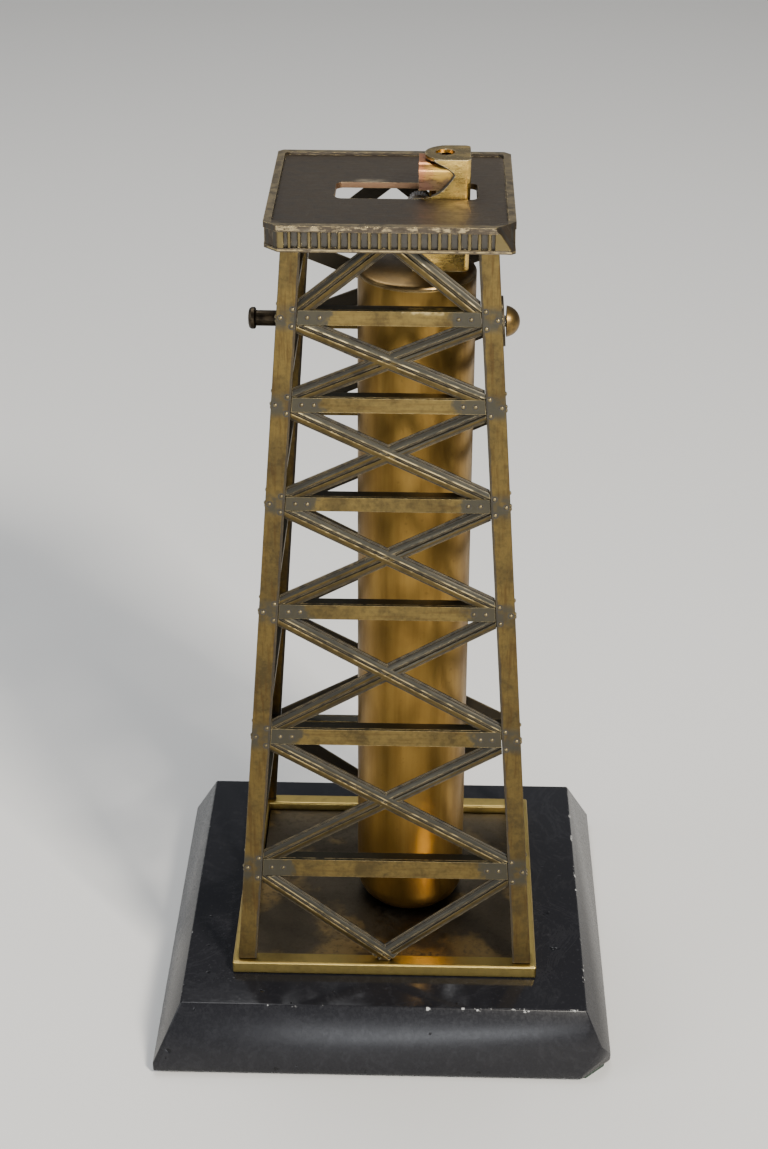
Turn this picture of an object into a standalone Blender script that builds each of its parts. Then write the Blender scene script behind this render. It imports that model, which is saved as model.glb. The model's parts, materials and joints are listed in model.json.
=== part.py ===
"""Oil derrick table lighter: a brass lattice tower on a black bevelled plinth, with the lighter tube inside
and the flame hood standing up through the slot of the crown plate.

Metres, +Z up, the floor at Z = 0, the tower's axis on X = Y = 0, the front facing -Y.
"""

import math

import bmesh
import bpy
from mathutils import Matrix, Vector

MM = 0.001

# Heights in millimetres, counted from a datum inside the plinth. stand_up() lifts the finished
# object by -GROUND, so that the felt rests on Z = 0.
GROUND = -1.5
FELT_TOP = GROUND + 0.8
PLINTH_TOP = 13.8
SILL_TOP = 17.0
LEG_TOP = 185.15
SKIRT_BOTTOM = 181.8
DECK_TOP = 186.55
RIM_TOP = 187.2
HOOD_TOP = 194.6

# Plinth and floor.
PLINTH_HALF = 51.0
PLINTH_TOP_HALF = 45.0
PLINTH_BAND = GROUND + 2.95
SILL_HALF = 34.2
SILL_INNER = 30.4
FLOOR_HALF = 30.1
FLOOR_TOP = 15.0

# Tower: the leg's outer faces lean in by LEAN for each millimetre of height.
TOWER_HALF = 34.11
LEAN = 0.06946
TILT = math.atan(LEAN)
LEG_WIDTH = 4.1
LEG_THICK = 0.9
GIRT_LEVELS = (167.3, 149.0, 127.5, 103.1, 73.5, 40.8)
GIRT_HEIGHTS = (3.1, 3.1, 3.1, 3.3, 3.7, 4.3)
GIRT_DEPTH = 3.5
BRACE_HALF = 1.8
LAMBDA_APEX = 183.2
VEE_APEX = 18.6

# Crown plate.
DECK_HALF = 24.72
RIM_WIDTH = 1.6
# Corner cuts in the order front right, back right, back left, front left.
CORNER_CUTS = (0.8, 1.4, 1.1, 2.8)
PAN_CUTS = (2.9, 1.0, 0.8, 2.2)
HOLLOW_CUTS = (2.2, 1.0, 0.8, 2.2)
# The front right corner is sloped off, from HIP_LOW along the diagonal at the skirt's foot.
HIP_LOW = 34.4
HIP_LEAN = 24.6
SKIRT_WALL = 1.3
RIBS = 21
RIB_PITCH = 1.948
SLOT = (-11.5, 17.4, -5.5, 5.0)
SLOT_CORNER = 1.6

# Lighter tube and its head.
TUBE_X = 5.3
TUBE_Y = -2.0
TUBE_R = 12.3
TUBE_WALL = 0.7
TUBE_FOOT_R = 6.0
TUBE_TOP = 170.0
CAP_TOP = 171.1
HOOD = (6.58, 15.86, -5.25, 4.87)
SHEET = 0.6
FLAME_HOLE = (10.67, 0.2)
FLAME_HOLE_R = 2.05
BARREL_AXIS = (-0.19, 189.14)
BARREL_R = 4.34
BARREL_X = (5.42, 13.54)
BARREL_SHOULDER = 1.7
BARREL_FOOT = 188.03
ARM_Y = (3.47, 4.04)
PIVOT = (9.0, 173.6)
WICK = (10.6, 0.1)
WHEEL = (5.4, 184.0)
WHEEL_R = 2.4
FLINT_Y = -0.6

# Side knob and its axle.
AXLE_Z = 158.5
AXLE_R = 1.2


def start_clean():
    for obj in list(bpy.data.objects):
        bpy.data.objects.remove(obj, do_unlink=True)
    for holder in list(bpy.data.collections):
        bpy.data.collections.remove(holder)
    body = bpy.data.collections.new("oil_derrick_table_lighter")
    tools = bpy.data.collections.new("cutters")
    bpy.context.scene.collection.children.link(body)
    bpy.context.scene.collection.children.link(tools)
    tools.hide_render = True
    return body, tools


BODY, TOOLS = start_clean()


def material(name, colour, metallic, roughness):
    mat = bpy.data.materials.new(name)
    mat.use_nodes = True
    shader = mat.node_tree.nodes["Principled BSDF"]
    shader.inputs["Base Color"].default_value = (*colour, 1.0)
    shader.inputs["Metallic"].default_value = metallic
    shader.inputs["Roughness"].default_value = roughness
    mat.diffuse_color = (*colour, 1.0)
    return mat


BRASS = (0.42, 0.31, 0.13)
BRIGHT = (0.72, 0.55, 0.24)
DARK = (0.13, 0.11, 0.085)


def keep(obj, colour=BRASS, metallic=1.0, roughness=0.4, smooth=False):
    """Moves a finished solid into the object's own collection with a material of its own."""
    if smooth:
        obj.data.shade_smooth()
        obj.data.set_sharp_from_angle(angle=math.radians(35))
    TOOLS.objects.unlink(obj)
    BODY.objects.link(obj)
    obj.hide_render = False
    obj.display_type = "TEXTURED"
    obj.data.materials.clear()
    obj.data.materials.append(material(obj.name + "_mat", colour, metallic, roughness))
    return obj


def hang(obj, x, y, z):
    """Puts a moving piece's origin on its joint's axis."""
    obj.data.transform(Matrix.Translation((-x * MM, -y * MM, -z * MM)))
    obj.location = (x * MM, y * MM, z * MM)
    return obj


def helper(name, mesh):
    """A solid that is still a helper: hidden in the render until keep() takes it."""
    obj = bpy.data.objects.new(name, mesh)
    obj.hide_render = True
    obj.display_type = "WIRE"
    TOOLS.objects.link(obj)
    return obj


def clean_mesh(mesh):
    work = bmesh.new()
    work.from_mesh(mesh)
    bmesh.ops.remove_doubles(work, verts=work.verts, dist=1e-7)
    bmesh.ops.recalc_face_normals(work, faces=work.faces)
    work.to_mesh(mesh)
    work.free()


def prism(name, rings, low, high):
    """A flat outline, with any further rings as holes, drawn in X and Y and thick from low to high in Z."""
    curve = bpy.data.curves.new(name + "_outline", "CURVE")
    curve.dimensions = "2D"
    curve.fill_mode = "BOTH"
    curve.extrude = (high - low) / 2 * MM
    for ring in rings:
        spline = curve.splines.new("POLY")
        spline.points.add(len(ring) - 1)
        for point, (x, y) in zip(spline.points, ring):
            point.co = (x * MM, y * MM, 0.0, 1.0)
        spline.use_cyclic_u = True
    source = bpy.data.objects.new(name + "_curve", curve)
    TOOLS.objects.link(source)
    bpy.context.view_layer.update()
    graph = bpy.context.evaluated_depsgraph_get()
    mesh = bpy.data.meshes.new_from_object(source.evaluated_get(graph))
    bpy.data.objects.remove(source, do_unlink=True)
    mesh.transform(Matrix.Translation((0, 0, (low + high) / 2 * MM)))
    clean_mesh(mesh)
    return helper(name, mesh)


def rectangle(x0, x1, y0, y1):
    return [(x0, y0), (x1, y0), (x1, y1), (x0, y1)]


def box(name, x0, x1, y0, y1, z0, z1):
    return prism(name, [rectangle(x0, x1, y0, y1)], z0, z1)


def arc(cx, cy, radius, start, end, steps):
    """Points along an arc, in degrees, both ends included."""
    turns = [math.radians(start + (end - start) * i / steps) for i in range(steps + 1)]
    return [(cx + radius * math.cos(t), cy + radius * math.sin(t)) for t in turns]


def rounded_rectangle(x0, x1, y0, y1, radius, steps):
    ring = arc(x1 - radius, y0 + radius, radius, -90, 0, steps)
    ring += arc(x1 - radius, y1 - radius, radius, 0, 90, steps)
    ring += arc(x0 + radius, y1 - radius, radius, 90, 180, steps)
    return ring + arc(x0 + radius, y0 + radius, radius, 180, 270, steps)


def cut_square(half, cuts):
    """A square with its corners cut at 45 degrees, each by its own length."""
    ring = []
    for turn, cut in enumerate(cuts):
        c = round(math.cos(turn * math.pi / 2))
        s = round(math.sin(turn * math.pi / 2))
        for x, y in ((half - cut, -half), (half, cut - half)):
            ring.append((x * c - y * s, x * s + y * c))
    return ring


def turned(name, profile, steps=32):
    """A solid of revolution about Z: the profile runs from the axis at the top, down its outer side,
    and back to the axis."""
    mesh = bpy.data.meshes.new(name)
    verts = [(r * MM, 0.0, z * MM) for r, z in profile]
    mesh.from_pydata(verts, [(i, i + 1) for i in range(len(verts) - 1)], [])
    obj = helper(name, mesh)
    screw = obj.modifiers.new("turn", "SCREW")
    screw.steps = steps
    screw.render_steps = steps
    screw.use_merge_vertices = True
    screw.merge_threshold = 0.00001
    screw.use_normal_calculate = True
    return settle(obj)


def settle(obj):
    """Replaces the object's mesh with what its modifiers make of it."""
    bpy.context.view_layer.update()
    graph = bpy.context.evaluated_depsgraph_get()
    mesh = bpy.data.meshes.new_from_object(obj.evaluated_get(graph))
    obj.modifiers.clear()
    obj.data = mesh
    clean_mesh(mesh)
    return obj


def place(obj, matrix):
    obj.data.transform(matrix)
    if matrix.determinant() < 0:
        obj.data.flip_normals()
    return obj


def move(obj, x, y, z):
    return place(obj, Matrix.Translation((x * MM, y * MM, z * MM)))


def combine(obj, other, operation):
    step = obj.modifiers.new(operation.lower() + "_" + other.name, "BOOLEAN")
    step.operation = operation
    step.solver = "EXACT"
    step.object = other
    return obj


def soften(obj, width, segments=1, angle=40):
    bevel = obj.modifiers.new("edges", "BEVEL")
    bevel.width = width * MM
    bevel.segments = segments
    bevel.limit_method = "ANGLE"
    bevel.angle_limit = math.radians(angle)
    return obj


def rod_x(name, profile, x, y, z, steps=32):
    """A turned solid laid along +X, its profile's Z measured from (x, y, z)."""
    obj = turned(name, profile, steps)
    place(obj, Matrix.Rotation(math.pi / 2, 4, "Y"))
    return move(obj, x, y, z)


def rod_y(name, profile, x, y, z, steps=32):
    """A turned solid laid along +Y, its profile's Z measured from (x, y, z)."""
    obj = turned(name, profile, steps)
    place(obj, Matrix.Rotation(-math.pi / 2, 4, "X"))
    return move(obj, x, y, z)


def rod(radius, low, high):
    return [(0, high), (radius, high), (radius, low), (0, low)]


def half_at(z):
    return TOWER_HALF - LEAN * z


def window_half(z):
    """Half the opening between two legs of one face."""
    return half_at(z) - LEG_WIDTH


FACES = ("front", "right", "back", "left")
LEAN_BACK = Matrix(
    (
        (1, 0, 0, 0),
        (0, math.sin(TILT), -math.cos(TILT), -TOWER_HALF * MM),
        (0, math.cos(TILT), math.sin(TILT), 0),
        (0, 0, 0, 1),
    )
)


def face_matrix(side):
    """Takes (along, up the slope, outwards) on one face of the tower to the world."""
    return Matrix.Rotation(side * math.pi / 2, 4, "Z") @ LEAN_BACK


# Lay a flat outline down as (X, Z), thick along Y, or as (Y, Z), thick along X.
UPRIGHT = Matrix(((1, 0, 0, 0), (0, 0, 1, 0), (0, 1, 0, 0), (0, 0, 0, 1)))
ALONG_X = Matrix(((0, 0, 1, 0), (1, 0, 0, 0), (0, 1, 0, 0), (0, 0, 0, 1)))


def slope(z):
    return z / math.cos(TILT)


# ---------------------------------------------------------------- plinth and floor


def build_plinth():
    low = FELT_TOP + 0.05
    block = box("plinth", -PLINTH_HALF, PLINTH_HALF, -PLINTH_HALF, PLINTH_HALF, low, PLINTH_BAND)
    mesh = bpy.data.meshes.new("plinth_bevel")
    work = bmesh.new()
    height = PLINTH_TOP - PLINTH_BAND
    bmesh.ops.create_cone(
        work,
        cap_ends=True,
        segments=4,
        radius1=PLINTH_HALF * math.sqrt(2) * MM,
        radius2=PLINTH_TOP_HALF * math.sqrt(2) * MM,
        depth=height * MM,
    )
    work.to_mesh(mesh)
    work.free()
    bevel = helper("plinth_bevel", mesh)
    place(bevel, Matrix.Rotation(math.pi / 4, 4, "Z"))
    move(bevel, 0, 0, PLINTH_BAND + height / 2)
    combine(block, bevel, "UNION")
    settle(block)
    soften(block, 0.35, 2)
    settle(block)
    bore = turned("plinth_bore", rod(2.1, GROUND, 14.5), 24)
    well = turned("plinth_well", rod(5.2, GROUND, 5.0), 24)
    combine(block, bore, "DIFFERENCE")
    combine(block, well, "DIFFERENCE")
    keep(settle(block), (0.012, 0.012, 0.013), 0.0, 0.12)


def build_felt():
    hole = arc(0, 0, 5.2, 0, 345, 23)
    edge = PLINTH_HALF - 1.4
    felt = prism("base_felt", [rounded_rectangle(-edge, edge, -edge, edge, 1.5, 3), hole], GROUND, FELT_TOP)
    keep(felt, (0.02, 0.05, 0.03), 0.0, 0.95)


def build_tie_screw():
    profile = [
        (0, FLOOR_TOP - 0.02),
        (1.5, FLOOR_TOP - 0.02),
        (1.5, 4.93),
        (4.2, 4.93),
        (4.4, 4.6),
        (4.4, 2.9),
        (3.9, 2.4),
        (0, 2.4),
    ]
    screw = turned("tie_screw", profile, 24)
    slot = box("tie_screw_slot", -5, 5, -0.5, 0.5, 1.5, 3.3)
    combine(screw, slot, "DIFFERENCE")
    keep(settle(screw), (0.45, 0.45, 0.45), 1.0, 0.35)


def build_floor():
    hole = arc(0, 0, 1.6, 0, 345, 23)
    square = rectangle(-FLOOR_HALF, FLOOR_HALF, -FLOOR_HALF, FLOOR_HALF)
    plate = prism("floor_plate", [square, hole], 13.87, FLOOR_TOP)
    keep(plate, DARK, 1.0, 0.5)
    outer = rectangle(-SILL_HALF, SILL_HALF, -SILL_HALF, SILL_HALF)
    inner = rectangle(-SILL_INNER, SILL_INNER, -SILL_INNER, SILL_INNER)
    sill = prism("sill_frame", [outer, inner], 13.87, SILL_TOP)
    soften(sill, 0.3)
    keep(settle(sill), BRIGHT, 1.0, 0.35)


# ---------------------------------------------------------------- lattice tower


def build_legs():
    low = SILL_TOP + 0.05
    outline = [
        (0, 0),
        (LEG_WIDTH, 0),
        (LEG_WIDTH, LEG_THICK),
        (LEG_THICK, LEG_THICK),
        (LEG_THICK, LEG_WIDTH),
        (0, LEG_WIDTH),
    ]
    lean = Matrix.Identity(4)
    lean[0][2] = LEAN
    lean[1][2] = LEAN
    for side, name in enumerate(("leg_front_left", "leg_front_right", "leg_back_right", "leg_back_left")):
        leg = prism(name, [outline], low, LEG_TOP)
        place(leg, Matrix.Translation((-TOWER_HALF * MM, -TOWER_HALF * MM, 0)) @ lean)
        place(leg, Matrix.Rotation(side * math.pi / 2, 4, "Z"))
        soften(leg, 0.12)
        keep(settle(leg))


def girt_bar(name, level, height, side):
    """The upright flange of a girt, set between two legs and just behind their faces."""
    low = level - height / 2
    high = level + height / 2
    wide = window_half(low) - 0.08
    narrow = window_half(high) - 0.08
    outline = [(-wide, slope(low)), (wide, slope(low)), (narrow, slope(high)), (-narrow, slope(high))]
    bar = prism(name, [outline], -1.25, -0.35)
    return place(bar, face_matrix(side))


def build_girts():
    for index, (level, height) in enumerate(zip(GIRT_LEVELS, GIRT_HEIGHTS)):
        name = "girt_ring_%d" % (index + 1)
        top = level + height / 2
        outer = half_at(top) - LEG_THICK - 0.12
        inner = half_at(top) - GIRT_DEPTH
        flange_low = top - 0.85
        rings = [rectangle(-outer, outer, -outer, outer), rectangle(-inner, inner, -inner, inner)]
        ring = prism(name, rings, flange_low, top - 0.02)
        for side in range(4):
            combine(ring, girt_bar(name + "_bar_%d" % side, level, height, side), "UNION")
        keep(settle(ring))


def brace_bar(name, start, end, lift):
    """A grooved strip from start to end in the plane of a face: a thin base carrying two ridges that
    fall away to their outer sides."""
    crest = -0.32 + lift
    half = [
        (BRACE_HALF, -1.3),
        (BRACE_HALF, -0.9 + lift),
        (1.46, -0.86 + lift),
        (1.36, crest - 0.26),
        (0.9, crest - 0.07),
        (0.36, crest),
        (0.14, -0.72 + lift),
    ]
    outline = half + [(-s, w) for s, w in reversed(half)]
    run = Vector((end[0] - start[0], end[1] - start[1]))
    bar = prism(name, [outline], -6.0, run.length + 6.0)
    along = Vector((run.x, run.y, 0)).normalized()
    out = Vector((0, 0, 1))
    across = out.cross(along)
    frame = Matrix((across, out, along)).transposed().to_4x4()
    if frame.determinant() < 0:
        frame = Matrix((-across, out, along)).transposed().to_4x4()
    place(bar, frame)
    return move(bar, start[0], start[1], 0)


def window(low, high):
    """The opening between legs and girts, a hair smaller all round."""
    gap = 0.06
    wide = window_half(low) - gap
    narrow = window_half(high) - gap
    return [
        (-wide, slope(low) + gap),
        (wide, slope(low) + gap),
        (narrow, slope(high) - gap),
        (-narrow, slope(high) - gap),
    ]


def foot_window(line, low, high):
    """The opening over the sill, cut along the underside of the two braces that meet there."""
    gap = 0.06
    run = Vector((line[1][0] - line[0][0], line[1][1] - line[0][1])).normalized()
    edge = Vector(line[0]) + Vector((run.y, -run.x)) * (BRACE_HALF + 0.05)
    floor = edge + run * ((slope(low) + gap - edge.y) / run.y)
    side = window_half(high) - gap
    corner = edge + run * ((side - edge.x) / run.x)
    top = slope(high) - gap
    return [(-floor.x, floor.y), (floor.x, floor.y), (side, corner.y), (side, top), (-side, top), (-side, corner.y)]


def brace_pair(name, lines, opening, side):
    """Two braces joined where they cross, trimmed to their opening."""
    over = brace_bar(name, *lines[0], 0.12)
    under = brace_bar(name + "_under", *lines[1], 0.0)
    trim = prism(name + "_opening", [opening], -2.5, 1.5)
    combine(over, under, "UNION")
    combine(over, trim, "INTERSECT")
    settle(over)
    return place(over, face_matrix(side))


def tier_limits(tier):
    """Top of the girt below and foot of the girt above."""
    low = GIRT_LEVELS[tier + 1] + GIRT_HEIGHTS[tier + 1] / 2
    high = GIRT_LEVELS[tier] - GIRT_HEIGHTS[tier] / 2
    return low, high


def build_braces():
    for tier in range(5):
        low, high = tier_limits(tier)
        inset = 0.4
        wide = window_half(low) - inset
        narrow = window_half(high) - inset
        falling = ((-narrow, slope(high)), (wide, slope(low)))
        rising = ((-wide, slope(low)), (narrow, slope(high)))
        for side, face in enumerate(FACES):
            name = "brace_%s_tier_%d" % (face, tier + 1)
            brace = brace_pair(name, (falling, rising), window(low, high), side)
            if tier == 0 and face in ("right", "left"):
                hand = 1 if face == "right" else -1
                bore = rod_x(name + "_bore", rod(1.5, -4, 4), hand * 23.0, 0, AXLE_Z, 24)
                combine(brace, bore, "DIFFERENCE")
                settle(brace)
            keep(brace)


def build_end_braces():
    """The pair that rises to the crown and the pair that falls to the sill, on each face."""
    top_low = GIRT_LEVELS[0] + GIRT_HEIGHTS[0] / 2
    foot_high = GIRT_LEVELS[5] - GIRT_HEIGHTS[5] / 2
    top_half = window_half(top_low) - 0.5
    foot_half = window_half(foot_high) - 0.5
    for side, face in enumerate(FACES):
        left = ((-top_half, slope(top_low)), (0.0, slope(LAMBDA_APEX)))
        right = ((0.0, slope(LAMBDA_APEX)), (top_half, slope(top_low)))
        keep(brace_pair("brace_%s_crown" % face, (right, left), window(top_low, LEG_TOP), side))
        left = ((-foot_half, slope(foot_high)), (0.0, slope(VEE_APEX)))
        right = ((0.0, slope(VEE_APEX)), (foot_half, slope(foot_high)))
        opening = foot_window(right, SILL_TOP + 0.05, foot_high)
        keep(brace_pair("brace_%s_foot" % face, (left, right), opening, side))


# ---------------------------------------------------------------- crown plate


def ribbed_outline():
    """The outline of the skirt's four sides with their ribs, between the cut corners."""
    panel = DECK_HALF - 0.75
    crest = DECK_HALF - 0.25
    first = -(RIBS - 1) / 2 * RIB_PITCH
    ring = []
    for turn in range(4):
        side = [(CORNER_CUTS[turn - 1] - panel, -panel)]
        for index in range(RIBS):
            x = first + index * RIB_PITCH
            side += [(x - 0.34, -panel), (x - 0.24, -crest), (x + 0.24, -crest), (x + 0.34, -panel)]
        side.append((panel - CORNER_CUTS[turn], -panel))
        c = round(math.cos(turn * math.pi / 2))
        s = round(math.sin(turn * math.pi / 2))
        ring += [(x * c - y * s, x * s + y * c) for x, y in side]
    return ring


def crown_corners(hollow):
    """The plain posts at the four corners of the skirt."""
    outer = cut_square(DECK_HALF - 0.2, CORNER_CUTS)
    corner = prism("crown_corners", [outer, hollow], SKIRT_BOTTOM + 0.3, DECK_TOP - 0.4)
    for side in range(4):
        bay = box("crown_bay_%d" % side, -20.6, 20.6, -26, -22, SKIRT_BOTTOM, DECK_TOP)
        place(bay, Matrix.Rotation(side * math.pi / 2, 4, "Z"))
        combine(corner, bay, "DIFFERENCE")
    return settle(corner)


def crown_hip():
    """The block that slopes off the front right corner."""
    hip = box("crown_hip", 0, 10, -10, 10, -10, 10)
    place(hip, Matrix.Rotation(math.radians(-HIP_LEAN), 4, "Y"))
    place(hip, Matrix.Rotation(-math.pi / 4, 4, "Z"))
    reach = HIP_LOW / math.sqrt(2)
    move(hip, reach, -reach, SKIRT_BOTTOM)
    return hip


def build_crown():
    hollows = [cut_square(DECK_HALF - SKIRT_WALL - inset, HOLLOW_CUTS) for inset in (0.6, 0.52, 0.44)]
    plate = prism("crown_plate", [cut_square(DECK_HALF, CORNER_CUTS)], DECK_TOP - 0.65, RIM_TOP)
    under = prism("crown_under", [cut_square(DECK_HALF - 0.85, CORNER_CUTS)], DECK_TOP - 1.25, DECK_TOP - 0.5)
    pan = prism("crown_pan", [cut_square(DECK_HALF - RIM_WIDTH, PAN_CUTS)], DECK_TOP, RIM_TOP + 1)
    band = prism("crown_band", [ribbed_outline(), hollows[0]], SKIRT_BOTTOM + 0.5, DECK_TOP - 0.45)
    foot = cut_square(DECK_HALF - 0.1, CORNER_CUTS)
    bead = prism("crown_bead", [foot, hollows[1]], SKIRT_BOTTOM, SKIRT_BOTTOM + 0.8)
    slot = prism("crown_slot", [rounded_rectangle(*SLOT, SLOT_CORNER, 6)], 180, 190)
    combine(plate, under, "UNION")
    combine(plate, band, "UNION")
    combine(plate, bead, "UNION")
    combine(plate, crown_corners(hollows[2]), "UNION")
    combine(plate, pan, "DIFFERENCE")
    combine(plate, slot, "DIFFERENCE")
    settle(plate)
    combine(plate, crown_hip(), "DIFFERENCE")
    keep(settle(plate), DARK, 1.0, 0.5)


# ---------------------------------------------------------------- lighter tube and head


def build_tube():
    foot = FLOOR_TOP + 0.06
    corner = [(p[0], p[1]) for p in arc(TUBE_R - TUBE_FOOT_R, foot + TUBE_FOOT_R, TUBE_FOOT_R, 0, -90, 5)]
    bore = TUBE_R - TUBE_WALL
    bend = TUBE_FOOT_R - TUBE_WALL
    inner = [(p[0], p[1]) for p in arc(TUBE_R - TUBE_FOOT_R, foot + TUBE_FOOT_R, bend, -90, 0, 5)]
    profile = [(0, foot + TUBE_WALL)] + inner + [(bore, TUBE_TOP), (TUBE_R, TUBE_TOP)] + corner + [(0, foot)]
    tube = turned("lighter_tube", profile, 44)
    move(tube, TUBE_X, TUBE_Y, 0)
    bore_across = rod_x("tube_bore", rod(1.35, -30, 30), 0, 0, AXLE_Z, 24)
    combine(tube, bore_across, "DIFFERENCE")
    keep(settle(tube), (0.62, 0.43, 0.18), 1.0, 0.25, True)


def build_tube_cap():
    profile = [
        (0, CAP_TOP),
        (11.5, CAP_TOP),
        (12.1, CAP_TOP - 0.3),
        (TUBE_R, CAP_TOP - 0.65),
        (TUBE_R, TUBE_TOP + 0.05),
        (11.5, TUBE_TOP + 0.05),
        (11.5, 168.0),
        (10.7, 168.0),
        (10.7, TUBE_TOP - 0.1),
        (0, TUBE_TOP - 0.1),
    ]
    cap = turned("tube_cap", profile, 44)
    move(cap, TUBE_X, TUBE_Y, 0)
    wick = turned("cap_wick_bore", rod(1.66, 160, 180), 20)
    move(wick, *WICK, 0)
    flint = turned("cap_flint_bore", rod(1.46, 160, 180), 20)
    move(flint, WHEEL[0], FLINT_Y, 0)
    arm = box("cap_arm_slot", 6.6, 12.6, ARM_Y[0] - 0.27, ARM_Y[1] + 0.2, 160, 180)
    combine(cap, wick, "DIFFERENCE")
    combine(cap, flint, "DIFFERENCE")
    combine(cap, arm, "DIFFERENCE")
    keep(settle(cap), (0.5, 0.38, 0.2), 1.0, 0.35)


def hood_channel():
    """The hood's three upright walls as one bent strip, open to the left."""
    x0, x1, y0, y1 = HOOD
    outer_r = 1.2
    inner_r = outer_r - SHEET
    ring = [(4.3, y0)] + arc(x1 - outer_r, y0 + outer_r, outer_r, -90, 0, 4)
    ring += arc(x1 - outer_r, y1 - outer_r, outer_r, 0, 90, 4)
    ring += [(7.5, y1), (7.5, y1 - SHEET)]
    ring += arc(x1 - outer_r, y1 - outer_r, inner_r, 90, 0, 4)
    ring += arc(x1 - outer_r, y0 + outer_r, inner_r, 0, -90, 4)
    ring.append((4.3, y0 + SHEET))
    return prism("hood", [ring], CAP_TOP + 0.05, HOOD_TOP - 0.05)


def hood_roof():
    x0, x1, y0, y1 = HOOD
    middle = (y0 + y1) / 2
    radius = (y1 - y0) / 2
    ring = arc(x1 - 1.2, y0 + 1.2, 1.2, -90, 0, 4)
    ring += arc(x1 - 1.2, y1 - 1.2, 1.2, 0, 90, 4)
    ring += arc(x0 + radius, middle, radius, 90, 270, 16)
    hole = arc(*FLAME_HOLE, FLAME_HOLE_R, 0, 345, 23)
    roof = prism("hood_roof", [ring, hole], HOOD_TOP - SHEET - 0.1, HOOD_TOP)
    return roof


def hood_window():
    """What is cut from the front wall: the notch that opens to the left around the barrel."""
    edge = [
        (1.95, 195.39),
        (8.40, 195.39),
        (8.60, 194.28),
        (9.61, 193.67),
        (10.62, 193.17),
        (11.63, 192.51),
        (12.33, 191.96),
        (12.74, 191.41),
        (12.48, 190.85),
        (11.93, 190.09),
        (11.09, 189.04),
        (10.21, 188.13),
        (9.21, 187.42),
        (8.10, 186.97),
        (6.18, 186.57),
        (1.95, 186.31),
    ]
    notch = prism("hood_notch", [edge], HOOD[2] - 1.6, HOOD[2] + 1.2)
    return place(notch, UPRIGHT)


def build_hood():
    hood = hood_channel()
    back = box("hood_back_notch", 6.0, 9.95, HOOD[3] - 0.8, HOOD[3] + 0.3, 187.5, HOOD_TOP + 1)
    combine(hood, hood_window(), "DIFFERENCE")
    combine(hood, back, "DIFFERENCE")
    settle(hood)
    combine(hood, hood_roof(), "UNION")
    pin = rod_y("hood_pin_bore", rod(0.68, -2, 2), PIVOT[0], HOOD[3], PIVOT[1], 16)
    spindle = rod_y("hood_spindle_bore", rod(0.68, -2, 2), WHEEL[0], HOOD[2], WHEEL[1], 16)
    combine(hood, pin, "DIFFERENCE")
    combine(hood, spindle, "DIFFERENCE")
    keep(settle(hood), BRIGHT, 1.0, 0.22)


def barrel_block(name, inset, foot):
    """The snuffer's arched block, its top right edge sloped off to pass under the roof."""
    y, z = BARREL_AXIS
    half = BARREL_R - inset
    radius = BARREL_SHOULDER - inset
    top = z + half
    ring = [(y - half, foot)] + arc(y - half + radius, top - radius, radius, 180, 90, 10)
    ring += arc(y + half - radius, top - radius, radius, 90, 0, 10) + [(y + half, foot)]
    block = prism(name, [ring], BARREL_X[0] + inset, BARREL_X[1] - inset)
    place(block, ALONG_X)
    end = BARREL_X[1] - inset
    triangle = [(end - 1.15, top + 0.1), (end + 0.1, top - 1.3), (end + 0.1, top + 0.1)]
    corner = place(prism(name + "_corner", [triangle], -8, 8), UPRIGHT)
    combine(block, corner, "DIFFERENCE")
    return settle(block)


def build_snuffer():
    """An arched barrel lying along X, hollow underneath, on a flat arm that runs down past its pivot."""
    shell = barrel_block("snuffer", 0.0, BARREL_FOOT)
    hollow = barrel_block("snuffer_hollow", SHEET, BARREL_FOOT - 1)
    arm = box("snuffer_arm", 7.9, 10.1, *ARM_Y, 163.6, BARREL_FOOT + 1.2)
    eye = rod_y("snuffer_eye", rod(1.9, *ARM_Y), PIVOT[0], 0, PIVOT[1], 20)
    bore = rod_y("snuffer_bore", rod(0.66, -2, 2), PIVOT[0], ARM_Y[0], PIVOT[1], 16)
    combine(shell, hollow, "DIFFERENCE")
    settle(shell)
    combine(arm, eye, "UNION")
    settle(arm)
    combine(arm, bore, "DIFFERENCE")
    settle(arm)
    combine(shell, arm, "UNION")
    keep(settle(shell), (0.72, 0.46, 0.26), 1.0, 0.22, True)
    hang(shell, PIVOT[0], 0, PIVOT[1])


def build_snuffer_pin():
    profile = [(0, 1.85), (0.9, 1.85), (1.2, 1.6), (1.2, 1.24), (0.6, 1.24), (0.6, -0.5), (0, -0.5)]
    pin = rod_y("snuffer_pin", profile, PIVOT[0], HOOD[3] - 1.2, PIVOT[1], 16)
    keep(pin, BRIGHT, 1.0, 0.3)


def build_wick():
    """The wick and its tube, which end above the cross axle."""
    holder = [arc(0, 0, 1.6, 0, 342, 19), arc(0, 0, 1.12, 0, 342, 19)]
    tube = prism("wick_tube", holder, 161.0, BARREL_FOOT - 0.4)
    move(tube, *WICK, 0)
    keep(tube, BRASS, 1.0, 0.3)
    tip = BARREL_FOOT - 0.25
    wick = turned("wick", [(0, tip), (0.7, tip), (1.05, tip - 0.35), (1.05, 160.3), (0, 160.3)], 14)
    move(wick, *WICK, 0)
    keep(wick, (0.75, 0.7, 0.6), 0.0, 0.95)


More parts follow.
